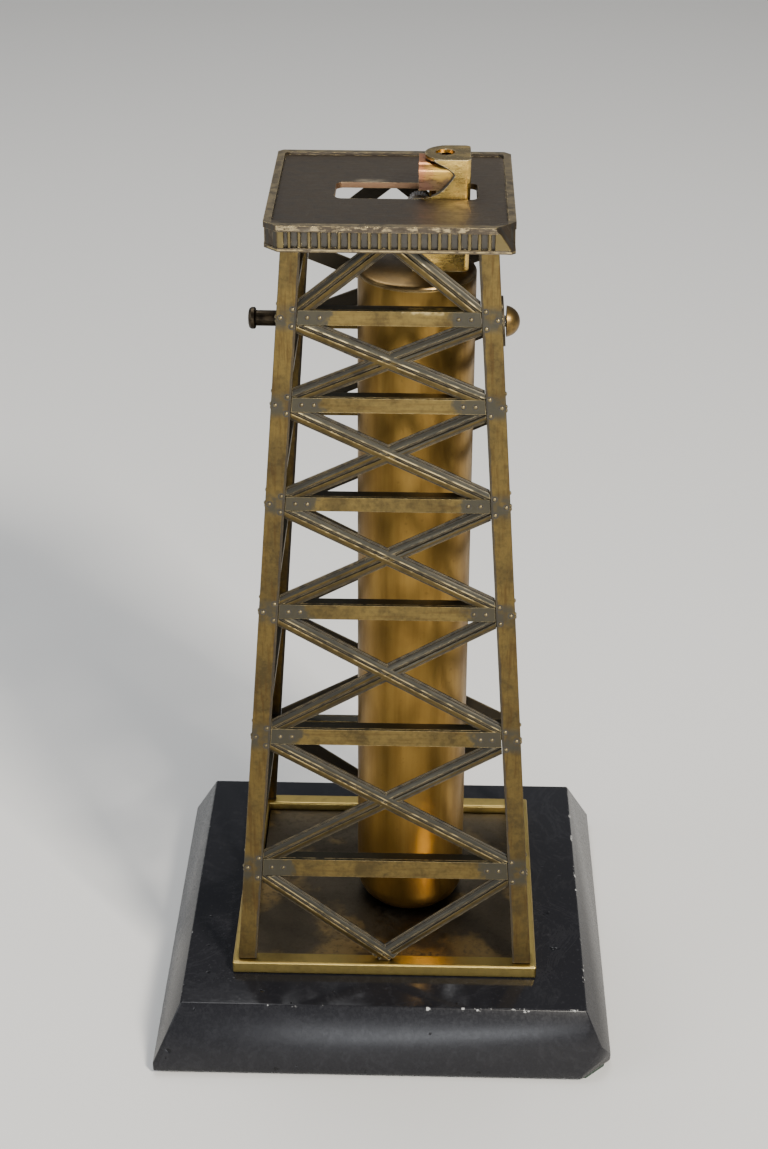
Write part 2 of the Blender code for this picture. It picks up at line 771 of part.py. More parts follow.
def build_striker():
    ring = []
    teeth = 26
    for index in range(teeth):
        turn = 2 * math.pi * index / teeth
        ring.append((WHEEL_R * math.cos(turn), WHEEL_R * math.sin(turn)))
        half = turn + math.pi / teeth
        ring.append(((WHEEL_R - 0.22) * math.cos(half), (WHEEL_R - 0.22) * math.sin(half)))
    wheel = prism("striker_wheel", [ring], FLINT_Y - 1.1, FLINT_Y + 1.1)
    place(wheel, Matrix(((1, 0, 0, 0), (0, 0, 1, 0), (0, 1, 0, 0), (0, 0, 0, 1))))
    move(wheel, WHEEL[0], 0, WHEEL[1])
    spindle = rod_y("striker_spindle", rod(0.6, HOOD[2] + 0.05, FLINT_Y + 1.5), WHEEL[0], 0, WHEEL[1], 16)
    combine(wheel, spindle, "UNION")
    keep(settle(wheel), (0.3, 0.3, 0.3), 1.0, 0.4)
    hang(wheel, WHEEL[0], FLINT_Y, WHEEL[1])
    profile = [(0, 181.5), (0.85, 181.5), (0.85, 180.6), (1.4, 180.6), (1.4, 164.5), (0, 164.5)]
    tube = turned("flint_tube", profile, 18)
    move(tube, WHEEL[0], FLINT_Y, 0)
    keep(tube, BRASS, 1.0, 0.3)


# ---------------------------------------------------------------- side knob and axle


def build_axle():
    """The cross axle with the wedge cam that pushes the snuffer's tail."""
    axle = rod_x("knob_axle", rod(AXLE_R, -23.8, 23.95), 0, 0, AXLE_Z, 24)
    cam = rod_x("axle_cam", rod(4.0, 3.4, 7.6), 0, 0, AXLE_Z, 28)
    wedge = box("axle_cam_wedge", -6, 6, -8, 8, -8, 8)
    place(wedge, Matrix.Rotation(math.radians(24), 4, "Y"))
    move(wedge, 12.6, 0, AXLE_Z + 2.2)
    combine(cam, wedge, "DIFFERENCE")
    settle(cam)
    combine(axle, cam, "UNION")
    keep(settle(axle), (0.4, 0.38, 0.34), 1.0, 0.35, True)
    hang(axle, 0, 0, AXLE_Z)


def build_washer(name, side, radius):
    """A washer that lies on the leaning side face around the axle."""
    rings = [arc(0, 0, radius, 0, 348, 29), arc(0, 0, 1.3, 0, 340, 17)]
    washer = prism(name, rings, 0.06, 0.56)
    place(washer, Matrix.Rotation(side * (math.pi / 2 - TILT), 4, "Y"))
    move(washer, side * half_at(AXLE_Z), 0, AXLE_Z)
    keep(washer, (0.16, 0.13, 0.09), 1.0, 0.45)


def build_knob():
    dome = arc(0, 0, 3.35, 8, 90, 7)
    profile = [(0, 2.9)]
    profile += [(x, y - 0.45) for x, y in reversed(dome[:-1])]
    profile.append((0, dome[0][1] - 0.45))
    ball = rod_x("ball_knob", profile, 24.02, 0, AXLE_Z, 26)
    keep(ball, (0.6, 0.45, 0.2), 1.0, 0.25, True)
    hang(ball, 0, 0, AXLE_Z)
    boss = [(0, 0), (1.45, 0), (1.65, -0.2), (1.65, -4.4), (2.1, -4.45), (2.3, -4.7), (2.3, -5.35)]
    boss += [(2.0, -5.8), (1.3, -6.0), (0, -6.05)]
    left = rod_x("left_boss", boss, -23.87, 0, AXLE_Z, 32)
    keep(left, (0.25, 0.19, 0.1), 1.0, 0.4, True)
    hang(left, 0, 0, AXLE_Z)
    build_washer("right_washer", 1, 5.3)
    build_washer("left_washer", -1, 4.0)


def stand_up():
    """Lifts the finished object so that its felt rests on the floor."""
    for obj in BODY.objects:
        obj.location.z -= GROUND * MM


build_plinth()
build_felt()
build_tie_screw()
build_floor()
build_legs()
build_girts()
build_braces()
build_end_braces()
build_crown()
build_tube()
build_tube_cap()
build_hood()
build_snuffer()
build_snuffer_pin()
build_wick()
build_striker()
build_axle()
build_knob()
stand_up()
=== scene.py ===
import json
import math

import bmesh
import bpy
from mathutils import Matrix, Vector


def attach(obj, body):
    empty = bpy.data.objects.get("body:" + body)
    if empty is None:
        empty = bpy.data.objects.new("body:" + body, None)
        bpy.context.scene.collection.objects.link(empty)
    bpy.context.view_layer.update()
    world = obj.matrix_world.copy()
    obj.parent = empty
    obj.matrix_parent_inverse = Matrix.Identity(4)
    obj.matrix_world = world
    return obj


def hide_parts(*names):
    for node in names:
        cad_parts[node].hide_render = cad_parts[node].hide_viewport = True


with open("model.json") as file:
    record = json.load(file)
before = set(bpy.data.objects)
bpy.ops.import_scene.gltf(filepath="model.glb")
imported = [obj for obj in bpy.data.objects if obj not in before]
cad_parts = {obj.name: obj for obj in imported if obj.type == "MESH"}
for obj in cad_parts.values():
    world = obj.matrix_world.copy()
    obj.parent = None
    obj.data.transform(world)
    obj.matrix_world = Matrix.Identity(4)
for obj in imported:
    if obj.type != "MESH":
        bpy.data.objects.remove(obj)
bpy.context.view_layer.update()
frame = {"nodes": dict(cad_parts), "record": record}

MM = 0.001
NODES = frame["nodes"]
BODIES = frame["record"]["behaviour"]["bodies"]
BODY_OF = {node: body for body, members in BODIES.items() for node in members}

# The tower's measures, in millimetres above its datum, which lies LIFT above the table.
LIFT = 1.5
TOWER_HALF = 34.11
LEAN = 0.06946
TILT = math.atan(LEAN)
LEG_WIDTH = 4.1
GIRT_LEVELS = (167.3, 149.0, 127.5, 103.1, 73.5, 40.8)
GIRT_HEIGHTS = (3.1, 3.1, 3.1, 3.3, 3.7, 4.3)
DECK = 186.55 + LIFT
RIM = 187.2 + LIFT
PLATE_HALF = 24.72

# ---------------------------------------------------------------- camera

# Metres, radians, and pixels of a frame FRAME_HEIGHT_PX high.
EYE = Vector((0.00845, -0.43672, 0.32895 + LIFT * MM))
YAW, PITCH, ROLL = -0.0222, -0.4859, 0.0050
FOCAL_PX = 2229.3
FRAME_HEIGHT_PX = 1149.0
SENSOR_MM = 36.0


def make_camera():
    lens = bpy.data.cameras.new("camera")
    obj = bpy.data.objects.new("camera", lens)
    bpy.context.scene.collection.objects.link(obj)
    ahead = Vector((math.sin(YAW) * math.cos(PITCH), math.cos(YAW) * math.cos(PITCH), math.sin(PITCH)))
    right = Vector((math.cos(YAW), -math.sin(YAW), 0))
    up = right.cross(ahead)
    across = right * math.cos(ROLL) + up * math.sin(ROLL)
    above = -right * math.sin(ROLL) + up * math.cos(ROLL)
    turn = Matrix((across, above, -ahead)).transposed().to_4x4()
    obj.matrix_world = Matrix.Translation(EYE) @ turn
    lens.sensor_fit = "VERTICAL"
    lens.sensor_height = SENSOR_MM
    lens.lens = FOCAL_PX * SENSOR_MM / FRAME_HEIGHT_PX
    lens.clip_start = 0.01
    lens.clip_end = 100.0
    bpy.context.scene.camera = obj


# ---------------------------------------------------------------- node building


class Net:
    """One material's node tree, with its coordinates in millimetres of the object's own space."""

    def __init__(self, name):
        self.mat = bpy.data.materials.new(name)
        self.mat.use_nodes = True
        self.tree = self.mat.node_tree
        self.shader = self.tree.nodes["Principled BSDF"]
        self.coords = self.add("ShaderNodeTexCoord").outputs["Object"]
        self.cache = {}

    def add(self, kind, **settings):
        node = self.tree.nodes.new(kind)
        for key, value in settings.items():
            setattr(node, key, value)
        return node

    def put(self, socket, value):
        if isinstance(value, bpy.types.NodeSocket):
            self.tree.links.new(value, socket)
        elif isinstance(value, tuple) and len(socket.default_value) == 4:
            socket.default_value = (*value, 1.0)
        else:
            socket.default_value = value

    def set(self, name, value):
        self.put(self.shader.inputs[name], value)

    def noise(self, per_mm, detail=4.0, rough=0.55, shift=(0, 0, 0), turn=(0, 0, 0), distort=0.0):
        scale = per_mm if isinstance(per_mm, tuple) else (per_mm,) * 3
        place = self.add("ShaderNodeMapping")
        self.put(place.inputs["Vector"], self.coords)
        place.inputs["Scale"].default_value = tuple(s / MM for s in scale)
        place.inputs["Rotation"].default_value = turn
        place.inputs["Location"].default_value = shift
        node = self.add("ShaderNodeTexNoise")
        self.put(node.inputs["Vector"], place.outputs["Vector"])
        node.inputs["Scale"].default_value = 1.0
        node.inputs["Detail"].default_value = detail
        node.inputs["Roughness"].default_value = rough
        node.inputs["Distortion"].default_value = distort
        return node.outputs["Fac"]

    def ramp(self, value, low, high, out_low=0.0, out_high=1.0):
        node = self.add("ShaderNodeMapRange", interpolation_type="SMOOTHSTEP")
        self.put(node.inputs["Value"], value)
        node.inputs["From Min"].default_value = low
        node.inputs["From Max"].default_value = high
        node.inputs["To Min"].default_value = out_low
        node.inputs["To Max"].default_value = out_high
        return node.outputs["Result"]

    def calc(self, operation, a, b=0.0, clamp=False):
        node = self.add("ShaderNodeMath", operation=operation, use_clamp=clamp)
        self.put(node.inputs[0], a)
        self.put(node.inputs[1], b)
        return node.outputs[0]

    def product(self, *values):
        total = values[0]
        for value in values[1:]:
            total = self.calc("MULTIPLY", total, value)
        return total

    def sum(self, *values):
        total = values[0]
        for value in values[1:]:
            total = self.calc("ADD", total, value)
        return total

    def mix(self, factor, a, b):
        node = self.add("ShaderNodeMix", data_type="RGBA")
        colours = [s for s in node.inputs if s.type == "RGBA"]
        self.put(node.inputs["Factor"], factor)
        self.put(colours[0], a)
        self.put(colours[1], b)
        return [s for s in node.outputs if s.type == "RGBA"][0]

    def blend(self, factor, a, b):
        node = self.add("ShaderNodeMix", data_type="FLOAT")
        values = [s for s in node.inputs if s.type == "VALUE"]
        self.put(values[0], factor)
        self.put(values[1], a)
        self.put(values[2], b)
        return [s for s in node.outputs if s.type == "VALUE"][0]

    def axis(self, index):
        """One coordinate in millimetres."""
        if index not in self.cache:
            node = self.add("ShaderNodeSeparateXYZ")
            self.put(node.inputs[0], self.coords)
            self.cache[index] = self.calc("MULTIPLY", node.outputs[index], 1 / MM)
        return self.cache[index]

    def between(self, value, low, high, soft):
        """1 between low and high, fading over soft on both sides."""
        rise = self.ramp(value, low - soft, low + soft)
        fall = self.ramp(value, high - soft, high + soft, 1.0, 0.0)
        return self.product(rise, fall)

    def patch(self, x, y, z, soft=0.5):
        """1 inside a box given in millimetres."""
        sides = [self.between(self.axis(i), *limits, soft) for i, limits in enumerate((x, y, z)) if limits]
        return self.product(*sides)

    def across(self):
        """The distance from the tower's axis, measured square."""
        return self.calc("MAXIMUM", self.calc("ABSOLUTE", self.axis(0)), self.calc("ABSOLUTE", self.axis(1)))

    def relief(self):
        """The height over the tower's leaning faces: 0 on the legs' outer faces, negative inwards."""
        out = self.calc("MULTIPLY", self.calc("SUBTRACT", self.across(), TOWER_HALF), math.cos(TILT))
        height = self.calc("SUBTRACT", self.axis(2), LIFT)
        return self.sum(out, self.calc("MULTIPLY", height, math.sin(TILT)))

    def edge_inset(self):
        """How far past the edge of the tower's openings a point lies: positive on legs, negative on girts."""
        along = self.calc("MINIMUM", self.calc("ABSOLUTE", self.axis(0)), self.calc("ABSOLUTE", self.axis(1)))
        height = self.calc("SUBTRACT", self.axis(2), LIFT)
        return self.sum(along, self.calc("MULTIPLY", height, LEAN), LEG_WIDTH - TOWER_HALF)

    def edges(self, radius, low=0.02, high=0.25):
        """1 along edges, 0 on flats."""
        bevel = self.add("ShaderNodeBevel", samples=6)
        bevel.inputs["Radius"].default_value = radius * MM
        flat = self.add("ShaderNodeNewGeometry").outputs["Normal"]
        dot = self.add("ShaderNodeVectorMath", operation="DOT_PRODUCT")
        self.put(dot.inputs[0], bevel.outputs["Normal"])
        self.put(dot.inputs[1], flat)
        return self.ramp(self.calc("SUBTRACT", 1.0, dot.outputs["Value"]), low, high)

    def recess(self, distance, low=0.35, high=0.9):
        """1 in tight corners, 0 in the open: an ambient-occlusion mask that the materials use to paint shade
        into recesses.
        """
        node = self.add("ShaderNodeAmbientOcclusion", samples=6)
        node.inputs["Distance"].default_value = distance * MM
        return self.ramp(node.outputs["AO"], low, high, 1.0, 0.0)

    def facing_up(self, low, high):
        node = self.add("ShaderNodeSeparateXYZ")
        self.put(node.inputs[0], self.add("ShaderNodeNewGeometry").outputs["Normal"])
        return self.ramp(node.outputs[2], low, high)

    def bump(self, *layers):
        """Stacks bumps given as (height, strength, distance in millimetres)."""
        last = None
        for height, strength, distance in layers:
            node = self.add("ShaderNodeBump")
            node.inputs["Strength"].default_value = strength
            node.inputs["Distance"].default_value = distance * MM
            self.put(node.inputs["Height"], height)
            if last is not None:
                self.put(node.inputs["Normal"], last)
            last = node.outputs["Normal"]
        self.put(self.shader.inputs["Normal"], last)

    def finish(self, colour, roughness, metallic=1.0):
        self.set("Base Color", colour)
        self.set("Roughness", roughness)
        self.set("Metallic", metallic)
        return self.mat


# ---------------------------------------------------------------- metals

GOLD = (0.150, 0.103, 0.033)
PALE = (0.74, 0.57, 0.27)
OLIVE = (0.054, 0.041, 0.021)
GREY = (0.056, 0.053, 0.041)
# Painted reflection: the grey of the sky on the braces' upward faces.
BRACE_SKY_REFLECTION = (0.030, 0.031, 0.028)
BROWN = (0.072, 0.042, 0.017)
# Painted shade: the dark colour laid into recesses found by ambient occlusion.
RECESS_SHADE = (0.013, 0.011, 0.008)
# For each kind of bar with brown streaks along it: their noise per millimetre, and how strong they are.
STREAKS = {"leg": ((1.4, 1.4, 0.09), 0.65), "girt": ((0.10, 0.10, 1.6), 0.40)}


def dark_share(net, seed):
    """Where the patina stays: broad patches with a finer mottle over them."""
    broad = net.ramp(net.noise(0.12, 5, 0.6, shift=(seed, 2 * seed, 3)), 0.38, 0.66)
    fine = net.ramp(net.noise(0.95, 5, 0.65, shift=(1, seed, 0)), 0.40, 0.70)
    return net.calc("ADD", net.product(broad, 0.65), net.product(fine, 0.4), True)


def worn_share(net, seed, radius, amount=(0.32, 0.58)):
    """Where edges are rubbed bright, broken up along their length."""
    gaps = net.ramp(net.noise(0.6, 4, 0.6, shift=(4, seed, 1)), *amount)
    return net.product(net.edges(radius, 0.02, 0.22), gaps)


def near_girts(net, reach, soft):
    """1 within reach times a girt's height of its level, on any of the six girts."""
    total = None
    height = net.axis(2)
    for level, tall in zip(GIRT_LEVELS, GIRT_HEIGHTS):
        away = net.calc("ABSOLUTE", net.calc("SUBTRACT", height, level + LIFT))
        band = net.ramp(away, reach * tall - soft, reach * tall + soft, 1.0, 0.0)
        total = band if total is None else net.calc("MAXIMUM", total, band)
    return total


def antique(name, seed, kind, clean=GOLD, patina=OLIVE):
    """Antique brass: olive patina, painted shade in recesses, edges rubbed bright. kind picks the bar's own
    marks, among them painted shade and, on the braces, a painted crest highlight and sky reflection.
    """
    net = Net(name)
    dark = dark_share(net, seed)
    # Painted shade: recesses found by ambient occlusion are darkened, and made rougher and less metallic.
    shade_mask = net.recess(1.1, 0.30, 0.85)
    brightened = worn_share(net, seed, 0.28)
    wobble = net.ramp(net.noise(0.35, 4, 0.6, shift=(6, seed, 3)), 0.3, 0.7, -1.0, 1.0)
    # Darker towards the bottom of the tower.
    toward_bottom = net.ramp(net.axis(2), 30.0, 190.0, 0.28, 0.0)
    dark = net.calc("ADD", dark, toward_bottom, True)
    colour = net.mix(net.product(dark, 0.85), clean, patina)
    if kind in STREAKS:
        scale, share = STREAKS[kind]
        streak = net.ramp(net.noise(scale, 4, 0.6, shift=(seed, 5, 1)), 0.46, 0.68)
        colour = net.mix(net.product(streak, share), colour, BROWN)
    grey = None
    if kind == "leg":
        joint = near_girts(net, 0.72, 1.1)
        grey = net.product(joint, net.ramp(wobble, -0.9, 0.5, 0.25, 0.9))
        # Painted shade: a dark line along each leg's inner edge, where its inward side lies in shade.
        edge = net.sum(net.edge_inset(), net.product(wobble, 0.12))
        line = net.ramp(edge, 0.35, 0.62, 1.0, 0.0)
        shade_mask = net.calc("MAXIMUM", shade_mask, net.product(line, 0.9))
    if kind == "girt":
        end = net.sum(net.edge_inset(), net.product(wobble, -1.6))
        grey = net.ramp(net.product(end, -1.0), 5.2, 7.4, 0.9, 0.0)
        shelf = net.facing_up(0.5, 0.8)
        grey = net.calc("MAXIMUM", grey, shelf)
        shade_mask = net.product(shade_mask, net.blend(shelf, 1.0, 0.35))
        rubbed = net.ramp(net.noise(0.45, 3, 0.5, shift=(2, 9, 4)), 0.36, 0.62)
        rubbed = net.product(rubbed, 0.75, net.patch((2.6, 10.8), (-24, -20), (169.75, 170.5), 0.4))
        brightened = net.calc("MAXIMUM", brightened, rubbed)
    if kind == "brace":
        height = net.relief()
        # Painted shade in the deep grooves and steps of the ribbed bars.
        low = net.ramp(height, -0.55, -0.38, 1.0, 0.0)
        shade_mask = net.calc("MAXIMUM", shade_mask, net.product(low, 0.95))
        # Painted highlight: a bright line along the ridges' crests, joined to the rubbed edges.
        crest = net.ramp(height, -0.245, -0.205)
        brightened = net.product(brightened, 0.5)
        brightened = net.calc("MAXIMUM", brightened, net.product(crest, net.ramp(wobble, -0.4, 0.6, 0.1, 0.7)))
        # Painted reflection: faces tilted upwards are greyed as if they mirrored the sky.
        grey = net.product(net.facing_up(0.06, 0.22), 0.85)
    if grey is not None:
        colour = net.mix(grey, colour, GREY if kind != "brace" else BRACE_SKY_REFLECTION)
    # Painted shade laid over the colour in recesses, grooves and along the legs' inner edges.
    colour = net.mix(net.product(shade_mask, 0.85), colour, RECESS_SHADE)
    # Rubbed bright edges, and on the braces the painted crest highlight.
    colour = net.mix(net.product(brightened, 0.8), colour, PALE)
    grain = net.noise(3.2, 6, 0.7, shift=(seed, 0, 0))
    pits = net.noise(0.8, 5, 0.65, shift=(seed, 7, 0))
    rough = net.blend(dark, 0.34, 0.46)
    rough = net.sum(rough, net.ramp(grain, 0.3, 0.7, -0.05, 0.08))
    rough = net.blend(brightened, rough, 0.28)
    rough = net.blend(shade_mask, rough, 0.6)
    net.bump((pits, 0.30, 0.10), (grain, 0.25, 0.03))
    return net.finish(colour, rough, net.blend(shade_mask, 1.0, 0.4))


def shade_paint():
    """A dark material that paints shade: the shadow rings round the rivet heads and the line along the hood's
    cut edge.
    """
    net = Net("shade_paint")
    fine = net.noise(3.0, 4, 0.6)
    net.bump((fine, 0.3, 0.05))
    return net.finish(net.mix(fine, (0.022, 0.019, 0.014), (0.048, 0.041, 0.029)), 0.55, 0.3)


def sill_brass():
    """The bright sill frame, its edges polished and painted brighter still as a highlight, with a few dull
    stretches and painted shade in its recesses.
    """
    net = Net("sill_brass")
    broad = net.ramp(net.noise(0.07, 4, 0.6, shift=(21, 0, 0)), 0.50, 0.72)
    mottle = net.ramp(net.noise(0.5, 4, 0.6), 0.45, 0.8, 0.0, 0.25)
    dark = net.calc("ADD", net.product(broad, 0.6), mottle, True)
    brightened = net.edges(0.45, 0.03, 0.25)
    colour = net.mix(dark, (0.60, 0.44, 0.135), (0.22, 0.16, 0.058))
    # Painted shade in the recesses, from ambient occlusion.
    colour = net.mix(net.product(net.recess(1.6), 0.8), colour, RECESS_SHADE)
    # Polished edges, with a painted highlight along them.
    colour = net.mix(net.product(brightened, 0.9), colour, (1.0, 0.93, 0.66))
    grain = net.noise(2.5, 6, 0.7)
    net.bump((net.noise(0.4, 3, 0.5), 0.10, 0.06), (grain, 0.03, 0.01))
    return net.finish(colour, net.sum(net.blend(dark, 0.30, 0.42), net.ramp(grain, 0.3, 0.7, -0.03, 0.05)))


def floor_brass():
    """The dark floor plate, with tan patches of painted sunlight and painted shade in its recesses."""
    net = Net("floor_brass")
    # Painted light: tan pools of sunlight falling through the lattice onto the plate.
    tan = net.ramp(net.noise(0.055, 4, 0.55, shift=(2, 5, 0)), 0.50, 0.62)
    fine = net.noise(0.7, 5, 0.7)
    colour = net.mix(tan, (0.100, 0.083, 0.058), (0.30, 0.21, 0.090))
    colour = net.mix(net.ramp(fine, 0.45, 0.75), colour, (0.07, 0.058, 0.040))
    # Painted shade in the recesses, from ambient occlusion.
    colour = net.mix(net.product(net.recess(3.0), 0.7), colour, RECESS_SHADE)
    net.bump((fine, 0.25, 0.08), (net.noise(3.0, 5, 0.7), 0.2, 0.03))
    return net.finish(colour, net.ramp(fine, 0.3, 0.7, 0.36, 0.56))


def tube_brass(name, light=(0.33, 0.200, 0.050), stain=(0.21, 0.115, 0.027)):
    """Drawn tube: warm brown-gold with stains that run down it."""
    net = Net(name)
    streaks = net.ramp(net.noise((0.40, 0.40, 0.02), 5, 0.6, shift=(3, 0, 1)), 0.38, 0.70)
    clouds = net.ramp(net.noise((0.10, 0.10, 0.05), 4, 0.6, shift=(0, 6, 0), distort=0.6), 0.40, 0.72)
    fine = net.noise((2.4, 2.4, 0.5), 5, 0.65)
    dark = net.calc("ADD", net.product(streaks, 0.45), net.product(clouds, 0.45), True)
    colour = net.mix(dark, light, stain)
    spots = net.ramp(net.noise(0.6, 3, 0.5, shift=(8, 1, 0)), 0.66, 0.74)
    colour = net.mix(net.product(spots, 0.25), colour, (0.10, 0.055, 0.02))
    colour = net.mix(net.product(net.edges(0.5, 0.03, 0.3), 0.7), colour, PALE)
    # Painted shade in the recesses, from ambient occlusion.
    colour = net.mix(net.product(net.recess(2.5, 0.3, 0.8), 0.6), colour, (0.07, 0.045, 0.02))
    rough = net.sum(net.blend(dark, 0.34, 0.44), net.ramp(fine, 0.3, 0.7, -0.04, 0.05))
    net.bump((fine, 0.06, 0.02), (net.noise((0.3, 0.3, 0.08), 3, 0.5), 0.03, 0.06))
    return net.finish(colour, rough)


def crown_bronze():
    """The crown plate: dark satin top, tan rim, brass ribs on grey panels, a chipped bright top edge."""
    net = Net("crown_bronze")
    x_scratch = net.noise((0.10, 2.8, 0.5), 6, 0.7, turn=(0, 0, 0.12))
    y_scratch = net.noise((2.2, 0.12, 0.5), 5, 0.7, shift=(3, 0, 0), turn=(0, 0, -0.2))
    mottle = net.noise(0.55, 5, 0.65)
    across = net.across()
    height = net.axis(2)
    colour = net.mix(net.ramp(mottle, 0.35, 0.7), (0.086, 0.069, 0.051), (0.064, 0.051, 0.038))
    colour = net.mix(net.product(net.ramp(x_scratch, 0.53, 0.70), 0.6), colour, (0.20, 0.170, 0.125))
    colour = net.mix(net.product(net.ramp(y_scratch, 0.60, 0.75), 0.35), colour, (0.21, 0.18, 0.14))
    on_top = net.facing_up(0.6, 0.9)
    outside = net.ramp(across, PLATE_HALF - 1.75, PLATE_HALF - 1.55)
    rim = net.product(on_top, outside, net.ramp(height, RIM - 0.4, RIM - 0.2))
    colour = net.mix(net.product(rim, net.ramp(mottle, 0.3, 0.6, 0.3, 1.0)), colour, (0.20, 0.160, 0.095))
    below = net.calc("SUBTRACT", 1.0, on_top)
    on_ribs = net.ramp(across, PLATE_HALF - 0.40, PLATE_HALF - 0.30)
    crest = net.product(below, on_ribs, net.between(height, RIM - 4.6, RIM - 1.3, 0.1))
    colour = net.mix(net.product(crest, 0.8), colour, (0.160, 0.122, 0.048))
    panel = net.product(below, net.between(across, PLATE_HALF - 1.1, PLATE_HALF - 0.68, 0.08))
    colour = net.mix(net.product(panel, 0.75), colour, (0.070, 0.067, 0.059))
    # Painted shade in the recesses, from ambient occlusion.
    colour = net.mix(net.product(net.recess(0.6, 0.30, 0.85), 0.85), colour, RECESS_SHADE)
    slot_wall = net.product(below, net.patch((-12, 6), (-6.2, 6.2), (DECK - 1.6, DECK - 0.02), 0.15))
    colour = net.mix(net.product(slot_wall, 0.85), colour, (0.34, 0.20, 0.115))
    by_height = net.ramp(height, RIM - 1.4, RIM - 1.0, 0.4, 1.0)
    brightened = net.product(worn_share(net, 31, 0.35, (0.42, 0.60)), by_height)
    colour = net.mix(net.product(brightened, 0.8), colour, PALE)
    chips = net.ramp(net.noise((0.5, 0.5, 1.2), 5, 0.7, shift=(5, 2, 0)), 0.49, 0.60)
    brink = net.ramp(across, PLATE_HALF - 0.3, PLATE_HALF - 0.1)
    lip = net.product(below, chips, net.between(height, RIM - 1.0, RIM - 0.1, 0.15), brink)
    colour = net.mix(net.product(lip, 0.75), colour, (0.48, 0.38, 0.21))
    bead = net.product(below, net.between(height, RIM - 5.15, RIM - 4.85, 0.08), net.ramp(mottle, 0.35, 0.6))
    colour = net.mix(net.product(bead, 0.5), colour, PALE)
    rubbed = net.product(on_top, net.ramp(net.noise(0.5, 3, 0.5, shift=(6, 0, 0)), 0.25, 0.65))
    back_wear = net.product(rubbed, net.patch((-7.2, -2.0), (5.4, 6.4), None, 1.4))
    front_wear = net.product(rubbed, net.patch((12.2, 15.8), (-10.0, -6.4), None, 1.8))
    wear = net.calc("ADD", net.product(back_wear, 0.8), net.product(front_wear, 0.35), True)
    colour = net.mix(wear, colour, (0.62, 0.52, 0.35))
    rough = net.sum(net.ramp(mottle, 0.3, 0.7, 0.36, 0.50), net.ramp(x_scratch, 0.4, 0.7, 0.05, -0.06))
    rough = net.blend(net.calc("ADD", brightened, lip, True), rough, 0.25)
    tooth = net.noise(2.4, 4, 0.6, shift=(0, 8, 0))
    dents = net.product(chips, net.edges(0.5, 0.02, 0.2))
    net.bump((x_scratch, 0.22, 0.04), (y_scratch, 0.15, 0.03), (tooth, 0.20, 0.02), (dents, 0.5, 0.15))
    return net.finish(colour, rough)


def hood_brass():
    """The hood: hammered gold front, a duller top, bright rubbed edges."""
    net = Net("hood_brass")
    mottle = net.ramp(net.noise(0.35, 5, 0.65, shift=(0, 2, 0)), 0.42, 0.72)
    hammer = net.noise(1.1, 4, 0.6, shift=(2, 0, 3))
    scratch = net.noise((0.3, 0.3, 3.0), 5, 0.7, turn=(0.3, 0, 0))
    colour = net.mix(net.product(mottle, 0.75), (0.72, 0.49, 0.135), (0.38, 0.245, 0.062))
    top = net.product(net.facing_up(0.5, 0.9), net.ramp(net.noise(0.6, 4, 0.6), 0.3, 0.6, 0.6, 1.0))
    colour = net.mix(net.product(top, 0.75), colour, (0.36, 0.275, 0.13))
    # Painted shade in the recesses, from ambient occlusion.
    colour = net.mix(net.product(net.recess(1.2, 0.3, 0.85), 0.7), colour, (0.05, 0.035, 0.02))
    colour = net.mix(net.product(worn_share(net, 4, 0.3, (0.2, 0.45)), 0.85), colour, (1.0, 0.92, 0.68))
    rough = net.sum(net.blend(mottle, 0.22, 0.36), net.ramp(scratch, 0.3, 0.7, -0.04, 0.06))
    net.bump((hammer, 0.35, 0.12), (scratch, 0.15, 0.02))
    return net.finish(colour, rough)


def snuffer_brass():
    """The snuffer, with heat tints that run from copper at its left end to gold, and painted shade on its
    lower part.
    """
    net = Net("snuffer_brass")
    waver = net.ramp(net.noise(0.5, 3, 0.5), 0.3, 0.7, -1.0, 1.0)
    along = net.ramp(net.sum(net.axis(0), waver), 6.2, 9.4)
    colour = net.mix(along, (0.60, 0.250, 0.115), (0.64, 0.385, 0.085))
    # Painted shade: the lower part, which curves under, is darkened.
    waver = net.ramp(net.noise(0.7, 3, 0.5, shift=(1, 4, 0)), 0.3, 0.7, -0.6, 0.6)
    lower = net.ramp(net.sum(net.axis(2), waver), 191.0, 192.8, 1.0, 0.0)
    colour = net.mix(net.product(lower, 0.8), colour, (0.16, 0.10, 0.075))
    # Painted shade in the recesses, from ambient occlusion.
    colour = net.mix(net.product(net.recess(1.2), 0.6), colour, (0.04, 0.03, 0.025))
    colour = net.mix(net.product(worn_share(net, 6, 0.3), 0.5), colour, PALE)
    fine = net.noise((0.5, 3.0, 3.0), 4, 0.6)
    net.bump((fine, 0.08, 0.02), (net.noise(0.5, 3, 0.5), 0.08, 0.06))
    return net.finish(colour, net.ramp(fine, 0.3, 0.7, 0.26, 0.38))


def dull_brass(name, light, dark, rough, seed):
    """Small fittings: satin, mottled, with rubbed edges and painted shade in their recesses."""
    net = Net(name)
    mottle = net.ramp(net.noise(0.6, 5, 0.65, shift=(seed, 1, 0)), 0.38, 0.68)
    fine = net.noise(3.0, 5, 0.7, shift=(0, seed, 0))
    colour = net.mix(mottle, light, dark)
    # Painted shade in the recesses, from ambient occlusion.
    colour = net.mix(net.product(net.recess(0.8), 0.7), colour, RECESS_SHADE)
    edge = tuple(min(1.0, c * 1.6) for c in light)
    colour = net.mix(net.product(worn_share(net, seed, 0.25), 0.6), colour, edge)
    net.bump((fine, 0.18, 0.03), (net.noise(0.8, 3, 0.5), 0.12, 0.06))
    worn_rough = net.sum(net.blend(mottle, rough, rough + 0.12), net.ramp(fine, 0.3, 0.7, -0.04, 0.05))
    return net.finish(colour, worn_rough)


# ---------------------------------------------------------------- stone, cloth and the rest


